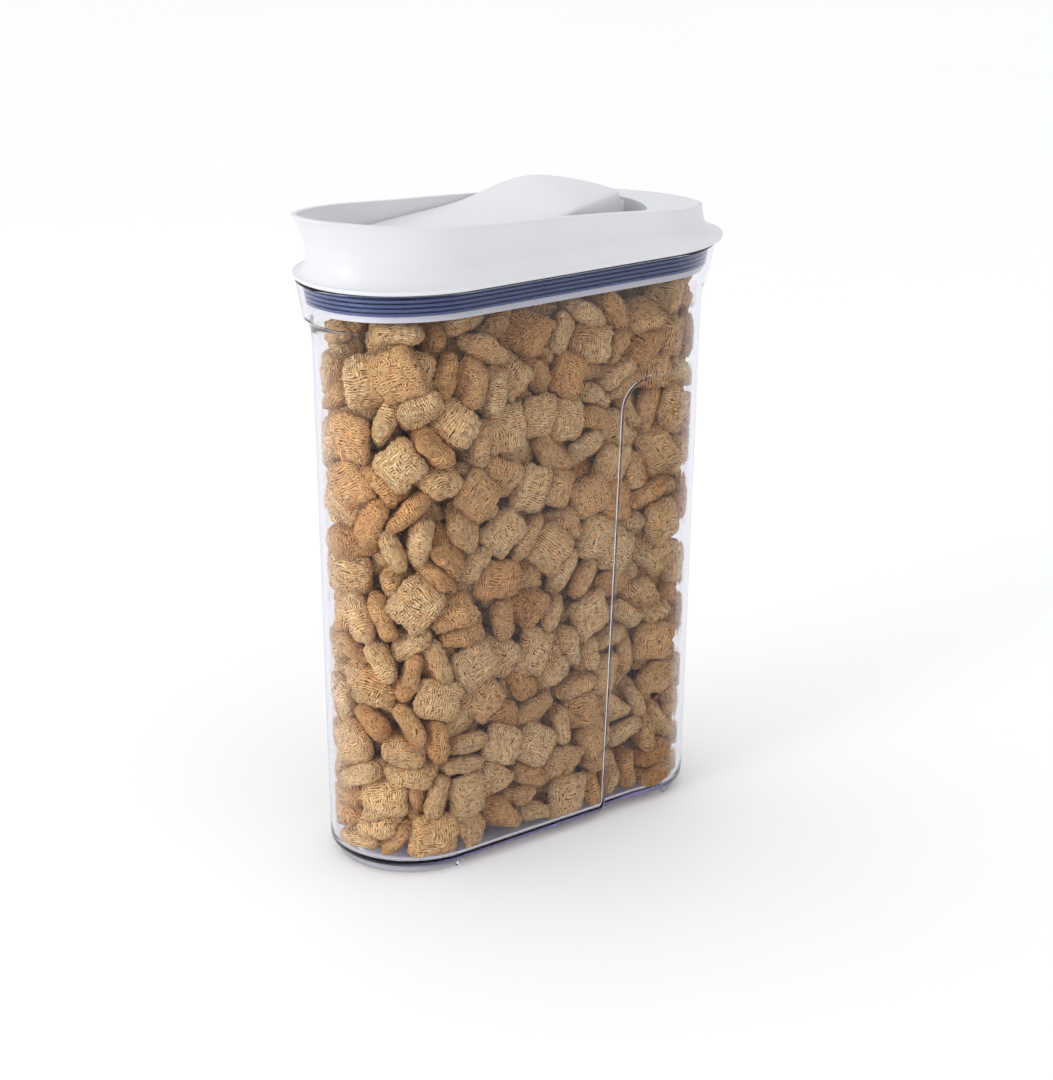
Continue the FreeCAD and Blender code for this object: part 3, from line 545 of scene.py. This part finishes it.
def rim_height(y):
    """Height of the lid's rim above the lid level: hollow over the spout, crowned behind."""
    along = np.asarray(y, float) - KNEE_Y
    hollow = along ** 2 / (2 * KNEE_RADIUS_FRONT)
    crown = -along ** 2 / (2 * KNEE_RADIUS_REAR)
    bend = np.where(along < 0, hollow, crown)
    return KNEE_HEIGHT + KNEE_SLOPE * along + bend


def spout_reach(share):
    """Front reach of the upper lid, from its waist (0) to its rim (1)."""
    return float(smooth_curve(share, (0.0, 0.33, 0.65, 1.0), (92.7, 93.6, 96.6, 101.2)))


def upper_ring(share, inset, drop=0.0):
    """A ring of the lid's outer wall between waist and rim."""
    points = oval(spout_reach(share) - inset, 92.2 - inset, 33.2 - 1.8 * share - inset)
    height = WAIST + share * (rim_height(points[:, 1]) - WAIST) - drop
    return at_height(points, LID_LEVEL + height)


def well_outline(share):
    """Plan of the well's wall."""
    rear = End(58.2, 42.2, 6.0)
    return outline(full_end(spout_reach(share) - 2.2, WELL_HALF_WIDTH), rear, WELL_HALF_WIDTH)


def floor_height(y):
    """Height of the well's floor, lower in the finger recess behind the flap."""
    return WELL_FLOOR + (RECESS_FLOOR - WELL_FLOOR) * smooth_step(y, 37.6, 38.6)


def throat_outline(extra):
    """Plan of the pour throat, moved outwards."""
    half_width = THROAT_HALF_WIDTH + extra
    front = full_end(THROAT_FRONT + extra, half_width)
    return outline(front, End(10.0 + extra, -5.0, 9.0 + extra), half_width)


def lid_rings():
    """All rings of the lid shell: up the outside, over the rim, into the well and back underneath."""
    rings = []
    flange_front, flange_rear, flange_width = FLANGE
    for drop in (0.0, 0.4):
        inset = 0.4 - drop
        points = oval(flange_front - inset, flange_rear - inset, flange_width - inset)
        rings.append(at_height(points, LID_LEVEL + drop))
    for angle in np.linspace(0.0, 90.0, 16):
        inward = math.sin(math.radians(angle))
        rise = 0.25 + (LIP - 0.25) + (WAIST - LIP) * (1 - math.cos(math.radians(angle)))
        points = oval(
            flange_front - 3.6 * inward,
            flange_rear - 7.6 * inward,
            flange_width - 8.3 * inward,
        )
        rings.append(at_height(points, LID_LEVEL + rise))
    edge = 0.9
    for share in np.linspace(0.08, 0.93, 12):
        rings.append(upper_ring(share, 0.0))
    for angle in np.linspace(0.0, 90.0, 6):
        inset = edge * (1 - math.cos(math.radians(angle)))
        drop = edge * (1 - math.sin(math.radians(angle)))
        rings.append(upper_ring(1.0, inset, drop))
    outer = rings[-1]
    inner_plan = well_outline(1.0)
    for share in np.linspace(0.1, 1.0, 9):
        plan = outer[:, :2] + (inner_plan - outer[:, :2]) * share
        crown = 0.9 * np.clip(1 - (plan[:, 0] / 29.0) ** 2, 0, 1) * smooth_step(plan[:, 1], 50.0, 62.0)
        crown *= 1.0 - smooth_step(plan[:, 1], 70.0, 93.0)
        rings.append(at_height(plan, LID_LEVEL + rim_height(plan[:, 1]) + crown * 0.6))
    rim = rings[-1][:, 2]
    for drop in (0.15, 0.5, 1.0):
        rings.append(at_height(inner_plan, rim - drop))
    for share in np.linspace(0.85, 0.0, 7):
        points = well_outline(share)
        low = floor_height(points[:, 1])
        high = rim_height(points[:, 1]) - 1.0
        rings.append(at_height(points, LID_LEVEL + low + share * (high - low)))
    for rear, width in ((42.0, 27.6), (38.8, 26.6), (38.2, 26.2), (37.4, 25.8)):
        front = full_end(THROAT_FRONT + (width - THROAT_HALF_WIDTH) * 1.3, width)
        points = outline(front, End(rear, rear - 12.0, 4.0), width)
        rings.append(at_height(points, LID_LEVEL + floor_height(points[:, 1])))
    rings.append(at_height(throat_outline(0.6), LID_LEVEL + WELL_FLOOR))
    rings.append(at_height(throat_outline(0.0), LID_LEVEL + WELL_FLOOR - 0.6))
    rings.append(at_height(throat_outline(0.0), LID_LEVEL - 3.0))
    rings.append(at_height(throat_outline(1.8), LID_LEVEL - 3.0))
    rings.append(at_height(throat_outline(1.8), LID_LEVEL + 5.5))
    for rear, width in ((36.0, 26.4), (37.0, 27.0), (60.4, 28.4)):
        front = full_end(80.5 + (width - 25.3) * 1.3, width)
        points = outline(front, End(rear, rear - 12.0, 6.0), width)
        low = np.minimum(5.5, floor_height(points[:, 1]) - 2.0)
        rings.append(at_height(points, LID_LEVEL + low))
    under = oval(85.0, 85.0, 29.7)
    rings.append(at_height(under, LID_LEVEL + 5.5))
    rings.append(at_height(under, LID_LEVEL - 2.5))
    rings.append(at_height(oval(86.6, 86.6, 31.3), LID_LEVEL - 2.5))
    rings.append(at_height(oval(86.6, 86.6, 31.3), LID_LEVEL + LIP))
    rings.append(at_height(oval(94.3, 97.8, 39.5), LID_LEVEL + LIP))
    rings.append(at_height(oval(94.3, 97.8, 39.5), LID_LEVEL))
    return rings


def make_lid(material):
    """The white lid shell."""
    lid = loop_object("lid", lid_rings(), material)
    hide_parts("lid_shell")
    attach(lid, "lid")


# --- Pour flap -----------------------------------------------------------------------------

FLAP_Y = (-90.0, -60.0, -30.0, -15.0, -5.0, 3.0, 10.0, 17.0, 24.0, 38.0, 48.0, 58.0)
FLAP_EDGE = (10.4, 12.7, 15.2, 16.2, 17.0, 18.0, 18.6, 18.2, 17.0, 13.2, 10.4, 7.0)
FLAP_CROWN = (10.8, 13.9, 17.5, 20.3, 23.6, 27.1, 29.3, 29.5, 28.3, 24.9, 21.7, 17.4)
FLAP_BOTTOM = 8.0
FLAP_WALL = 2.2
HINGE_Y = 47.0
HINGE_RISE = 13.5
EYE_RADIUS = 3.0
BRACKET_HALF_WIDTH = 4.4
CHEEK_NEAR = 5.0
CHEEK_FAR = 8.2


def flap_height(points):
    """Height of the flap's top above the lid level."""
    y = points[:, 1]
    edge = smooth_curve(y, FLAP_Y, FLAP_EDGE)
    crown = smooth_curve(y, FLAP_Y, FLAP_CROWN)
    return crown - (crown - edge) * (points[:, 0] / 29.7) ** 2


def flap_plan(inset):
    """Plan of the flap, moved inwards."""
    width = 27.7 - inset
    nose = End(53.75 - inset, -5.0, 80.0 - inset)
    return outline(full_end(82.5 - inset, width), nose, width)


def flap_spine(ring):
    """Points of a ring moved onto the flap's middle line, short of both ends."""
    return np.column_stack((np.zeros(len(ring)), np.clip(ring[:, 1], -56.0, 44.0)))


def flap_ceiling(points):
    """Height of the hollow's ceiling above the lid level."""
    return np.maximum(flap_height(points) - FLAP_WALL, FLAP_BOTTOM + 1.0)


def make_flap(material):
    """The pour flap: ramp, hump and nose, hollow underneath."""
    rings = []
    edge = 1.0
    plan = flap_plan(0.0)
    top = flap_height(plan)
    inner = flap_plan(FLAP_WALL)
    for share in np.linspace(1.0, 0.0, 13):
        points = inner + (flap_spine(inner) - inner) * share
        rings.append(at_height(points, LID_LEVEL + flap_ceiling(points)))
    rings.append(at_height(inner, LID_LEVEL + FLAP_BOTTOM))
    rings.append(at_height(flap_plan(0.3), LID_LEVEL + FLAP_BOTTOM))
    rings.append(at_height(plan, LID_LEVEL + FLAP_BOTTOM + 0.3))
    for share in np.linspace(0.2, 0.8, 4):
        rings.append(at_height(plan, LID_LEVEL + FLAP_BOTTOM + share * (top - edge - FLAP_BOTTOM)))
    for angle in np.linspace(0.0, 75.0, 6):
        inset = edge * (1 - math.cos(math.radians(angle)))
        drop = edge * (1 - math.sin(math.radians(angle)))
        points = flap_plan(inset)
        rings.append(at_height(points, LID_LEVEL + flap_height(points) - drop))
    outer = flap_plan(edge * 1.2)
    for share in np.linspace(0.0, 1.0, 19)[1:]:
        points = outer + (flap_spine(outer) - outer) * share
        rings.append(at_height(points, LID_LEVEL + flap_height(points)))
    flap = loop_object("flap", rings, material, close_loop=False, weld=True)
    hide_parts("flap_cover")
    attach(flap, "flap")


def side_profile(name, profile, near, far, material, body):
    """A plate cut to a side profile (y, height) between two distances from the centre line."""
    count = len(profile)
    points = [(x, y, LID_LEVEL + z) for x in (near, far) for y, z in profile]
    faces = [(i, (i + 1) % count, count + (i + 1) % count, count + i) for i in range(count)]
    faces.append(tuple(reversed(range(count))))
    faces.append(tuple(range(count, count * 2)))
    plate = mesh_object(name, points, faces, material)
    bevel = plate.modifiers.new("edges", "BEVEL")
    bevel.width = 0.25 * MM
    bevel.segments = 2
    bevel.limit_method = "ANGLE"
    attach(plate, body)


def make_hinge(material):
    """The lid's bracket inside the flap's nose, and the flap's two cheeks that hold the pin."""
    steps = np.radians(np.linspace(-67.0, 125.0, 25))
    bracket = [(32.0, 6.5), (38.0, 6.5)]
    for turn in steps:
        bracket.append((HINGE_Y + EYE_RADIUS * math.cos(turn), HINGE_RISE + EYE_RADIUS * math.sin(turn)))
    side_profile("hinge_bracket", bracket, -BRACKET_HALF_WIDTH, BRACKET_HALF_WIDTH, material, "lid")
    cheek = ((43.0, 8.4), (50.6, 8.4), (50.6, 17.0), (43.0, 19.5))
    side_profile("hinge_cheek_right", cheek, CHEEK_NEAR, CHEEK_FAR, material, "flap")
    side_profile("hinge_cheek_left", cheek, -CHEEK_FAR, -CHEEK_NEAR, material, "flap")


# --- Cereal --------------------------------------------------------------------------------

BISCUITS = 800
BISCUITS_PER_PIECE = 32
FILL_TOP = 227.5
CLEARANCE = 0.25
BISCUIT_GRID = 28
BISCUIT_SMALL = (8.6, 7.6, 4.0)
BISCUIT_LARGE = (10.6, 9.3, 5.0)
BISCUIT_FLOOR = FOOT + 2.7
BISCUIT_SHAPES = 12
TANK_TAPER = 3.1
ROUNDS = 260
SETTLE = 0.03
SETTLE_ROUNDS = ROUNDS - 60
WRAP_TURN = 1.35
SEED = 172


def wall_gap(points):
    """Distance from points to the tank's inner wall, and the plan direction that points inwards."""
    z = points[..., 2]
    share = np.clip((z - FOOT) / (NECK_LEVEL - FOOT), 0.0, 1.0)
    low = np.clip(FOOT + FLOOR_THICKNESS + FLOOR_CORNER - z, 0.0, 2.99)
    rounding = FLOOR_CORNER - np.sqrt(FLOOR_CORNER ** 2 - low ** 2)
    reach = TANK_LOW[0] + TANK_TAPER * share - WALL - rounding
    width = TANK_LOW[1] + TANK_TAPER * share - WALL - rounding
    y = np.abs(points[..., 1])
    x = np.abs(points[..., 0])
    lean = GRIP_LEAN * z / GRIP_TOP
    grip = smooth_step(points[..., 1], GRIP_FRONT - 3.0 + lean, GRIP_FRONT + 1.0 + lean)
    grip = grip * (1.0 - smooth_step(points[..., 1], GRIP_FADE_START, GRIP_FADE_END))
    grip = grip * (1.0 - smooth_step(z, GRIP_TOP, GRIP_TOP + 4.0))
    depth = reach - STRAIGHT
    shoulder = (width ** 2 + depth ** 2) / (2 * width) * FULLNESS
    nose = ((shoulder - width) ** 2 + depth ** 2 - shoulder ** 2) / (2 * (depth - shoulder))
    nose_y = reach - nose
    centre_x = width - shoulder
    turn = np.arctan2(nose_y - STRAIGHT, -centre_x)
    from_shoulder = np.stack((x - centre_x, y - STRAIGHT), axis=-1)
    from_nose = np.stack((x, y - nose_y), axis=-1)
    angle = np.arctan2(from_shoulder[..., 1], from_shoulder[..., 0])
    shoulder_far = np.linalg.norm(from_shoulder, axis=-1)
    nose_far = np.maximum(np.linalg.norm(from_nose, axis=-1), 0.001)
    in_nose = angle > turn
    straight = y < STRAIGHT
    gap = np.where(in_nose, nose - nose_far, shoulder - shoulder_far)
    gap = np.where(straight, width - x - GRIP_DEPTH * grip, gap)
    nose_way = from_nose / nose_far[..., None]
    shoulder_way = from_shoulder / shoulder_far[..., None]
    inward = np.where(in_nose[..., None], nose_way, shoulder_way)
    inward = np.where(straight[..., None], np.array((1.0, 0.0)), inward)
    signs = np.stack((np.sign(points[..., 0]), np.sign(points[..., 1])), axis=-1)
    return gap, -inward * signs


def turn_matrices(spin):
    """Rotation matrices for small rotation vectors."""
    angle = np.linalg.norm(spin, axis=-1, keepdims=True)
    axis = spin / np.maximum(angle, 1e-9)
    x, y, z = axis[:, 0], axis[:, 1], axis[:, 2]
    zero = np.zeros(len(spin))
    cross = np.stack((zero, -z, y, z, zero, -x, -y, x, zero), axis=-1).reshape(-1, 3, 3)
    sine = np.sin(angle)[..., None]
    cosine = np.cos(angle)[..., None]
    return np.eye(3) + sine * cross + (1 - cosine) * (cross @ cross)


def pack_biscuits(rng):
    """Settle flat biscuits, each a plate of nine balls, until the tank is full and they barely touch."""
    half = rng.uniform(BISCUIT_SMALL, BISCUIT_LARGE, (BISCUITS, 3))
    radius = half[:, 2]
    steps = np.array([(i, j, 0.0) for i in (-1, 0, 1) for j in (-1, 0, 1)])
    local = steps[None] * np.maximum(half - radius[:, None], 0.0)[:, None]
    centre = np.empty((BISCUITS, 3))
    filled = 0
    while filled < BISCUITS:
        trial = rng.uniform((-30.0, -80.0, 12.0), (30.0, 80.0, FILL_TOP - 6.0))
        gap, _ = wall_gap(trial[None])
        if gap[0] > 6.0:
            centre[filled] = trial
            filled += 1
    spin = rng.normal(size=(BISCUITS, 3)) * 2.0
    turned = turn_matrices(spin)
    for step in range(ROUNDS):
        growth = min(1.0, 0.55 + 0.45 * step / (ROUNDS * 0.6))
        balls = np.einsum("nij,nkj->nki", turned, local * growth) + centre[:, None]
        size = radius * growth
        if step % 8 == 0:
            apart = np.linalg.norm(centre[:, None] - centre[None], axis=-1)
            first, second = np.nonzero(np.triu(apart < 26.0, 1))
        push = np.zeros_like(centre)
        twist = np.zeros_like(centre)
        touch = np.zeros(BISCUITS)
        delta = balls[first][:, :, None] - balls[second][:, None]
        distance = np.linalg.norm(delta, axis=-1)
        overlap = (size[first] + size[second])[:, None, None] - distance
        pair, one, two = np.nonzero(overlap > 0.0)
        amount = overlap[pair, one, two] / np.maximum(distance[pair, one, two], 0.01)
        move = delta[pair, one, two] * amount[:, None] * 0.5
        for owner, which, sign in ((first[pair], one, 1.0), (second[pair], two, -1.0)):
            arm = balls[owner, which] - centre[owner]
            np.add.at(push, owner, move * sign)
            np.add.at(twist, owner, np.cross(arm, move * sign))
            np.add.at(touch, owner, 1.0)
        gap, inward = wall_gap(balls)
        short = np.clip(size[:, None] + CLEARANCE - gap, 0.0, None)
        move = np.zeros_like(balls)
        move[..., :2] = inward * short[..., None]
        move[..., 2] += np.clip(BISCUIT_FLOOR + size[:, None] - balls[..., 2], 0.0, None)
        move[..., 2] -= np.clip(balls[..., 2] + size[:, None] - FILL_TOP, 0.0, None)
        push += move.sum(axis=1) * 1.5
        twist += np.cross(balls - centre[:, None], move).sum(axis=1) * 1.5
        touch += (np.abs(move).sum(axis=-1) > 0).sum(axis=1) * 1.5
        ease = 1.0 / np.maximum(touch, 1.0)[:, None]
        centre += push * ease * 1.3
        centre[:, 2] -= SETTLE * (step < SETTLE_ROUNDS)
        turned = turn_matrices(twist * ease / 60.0) @ turned
    return centre, turned, half


def ragged(along, waves, phases):
    """How far a biscuit's edge stands out along its length."""
    edge = 1 + 0.035 * np.sin(waves[0] * along + phases[0])
    edge = edge + 0.03 * np.sin(waves[1] * along + phases[1])
    return edge + 0.03 * np.sin(3 * along + phases[2])


def biscuit_shape(rng):
    """One puffed biscuit woven of strands, as points of unit size with its grid of faces."""
    steps = np.sin(np.linspace(-math.pi / 2, math.pi / 2, BISCUIT_GRID))
    u, v = np.meshgrid(steps, steps, indexing="ij")
    sides = []
    for facing in (1.0, -1.0):
        puff = ((1 - np.abs(u) ** 4.0) * (1 - np.abs(v) ** 5.0)) ** 0.48
        phase = rng.uniform(0, 6.28, 8)
        bend = rng.uniform(0.5, 1.4, 4)
        warp = 1.5 * np.sin(bend[0] * 3 * v + phase[0]) + 0.9 * np.sin(bend[1] * 4 * (u + v) + phase[1])
        weave = np.sin(13 * u + warp * 1.8 + phase[2]) * 0.6
        weave += np.sin(9 * v + 1.6 * np.sin(3 * u + phase[3]) + phase[4]) * 0.35
        dents = np.sin(bend[2] * 3.0 * u + phase[5]) * np.sin(bend[3] * 3.2 * v + phase[6])
        height = facing * (puff * (0.86 + 0.12 * dents) + 0.07 * weave * np.sqrt(puff))
        sides.append(height)
    phase = rng.uniform(0, 6.28, 6)
    x = u * np.sqrt(1 - 0.15 * v ** 4) * ragged(v, (7, 17), phase[[0, 1, 4]])
    y = v * np.sqrt(1 - 0.15 * u ** 4) * ragged(u, (6, 19), phase[[2, 3, 5]])
    skew = rng.uniform(-0.10, 0.10)
    x = x + skew * y
    bow = rng.uniform(-0.25, 0.25)
    top = np.stack((x, y, sides[0] + bow * u ** 2), axis=-1).reshape(-1, 3)
    bottom = np.stack((x, y, sides[1] + bow * u ** 2), axis=-1)
    inner = bottom[1:-1, 1:-1].reshape(-1, 3)
    return np.vstack((top, inner))


def biscuit_faces():
    """Faces shared by every biscuit: a top grid and a bottom grid that meet round the edge."""
    count = BISCUIT_GRID
    top = np.arange(count * count).reshape(count, count)
    bottom = top.copy()
    bottom[1:-1, 1:-1] = count * count + np.arange((count - 2) ** 2).reshape(count - 2, count - 2)
    upper = np.stack((top[:-1, :-1], top[1:, :-1], top[1:, 1:], top[:-1, 1:]), axis=-1)
    lower = np.stack((bottom[:-1, :-1], bottom[:-1, 1:], bottom[1:, 1:], bottom[1:, :-1]), axis=-1)
    return np.vstack((upper.reshape(-1, 4), lower.reshape(-1, 4)))


def biscuit_wrap():
    """Coordinates that run over a biscuit's surface like its strands, in step with its points."""
    turns = np.linspace(-WRAP_TURN, WRAP_TURN, BISCUIT_GRID)
    u, v = np.meshgrid(turns, turns, indexing="ij")
    top = np.stack((u, v, np.zeros_like(u)), axis=-1)
    bottom = np.stack((u, v, (WRAP_TURN - np.maximum(np.abs(u), np.abs(v))) * 4.0), axis=-1)
    return np.vstack((top.reshape(-1, 3), bottom[1:-1, 1:-1].reshape(-1, 3)))


def make_cereal(material):
    """Shredded wheat biscuits that fill the tank, joined into a few pieces by level."""
    rng = np.random.default_rng(SEED)
    centre, turned, half = pack_biscuits(rng)
    shapes = [biscuit_shape(rng) for _ in range(BISCUIT_SHAPES)]
    faces = biscuit_faces()
    wrap = biscuit_wrap()
    order = np.argsort(centre[:, 2])
    for start in range(0, BISCUITS, BISCUITS_PER_PIECE):
        points, quads, grain, toast = [], [], [], []
        offset = 0
        for index in order[start:start + BISCUITS_PER_PIECE]:
            shape = shapes[rng.integers(len(shapes))] * half[index]
            placed = shape @ turned[index].T + centre[index]
            gap, inward = wall_gap(placed)
            placed[:, :2] += inward * np.clip(CLEARANCE - gap, 0.0, None)[:, None]
            placed[:, 2] = np.maximum(placed[:, 2], BISCUIT_FLOOR)
            points.append(placed)
            quads.append(faces + offset)
            grain.append(wrap * half[index] + rng.uniform(0.0, 400.0, 3))
            toast.append(np.full(len(shape), rng.random() ** 1.6))
            offset += len(shape)
        name = f"cereal_{start // BISCUITS_PER_PIECE:02d}"
        piece = mesh_object(name, np.vstack(points), np.vstack(quads).tolist(), material, 180.0)
        layer = piece.data.attributes.new("grain", "FLOAT_VECTOR", "POINT")
        layer.data.foreach_set("vector", np.vstack(grain).ravel())
        layer = piece.data.attributes.new("toast", "FLOAT", "POINT")
        layer.data.foreach_set("value", np.concatenate(toast))
        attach(piece, "container")


def main():
    """Build everything."""
    make_camera()
    make_stage()
    white = white_plastic()
    clear = clear_plastic()
    silicone = grey_silicone()
    steel = pin_steel()
    make_tank(clear)
    make_lid(white)
    make_flap(white)
    make_hinge(white)
    make_cereal(baked_wheat())
    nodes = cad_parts
    for name, material in (
        ("lid_frame", white),
        ("flap_liner", white),
        ("lid_gasket", silicone),
        ("flap_gasket", silicone),
        ("hinge_pin", steel),
    ):
        nodes[name].data.materials.clear()
        nodes[name].data.materials.append(material)


main()
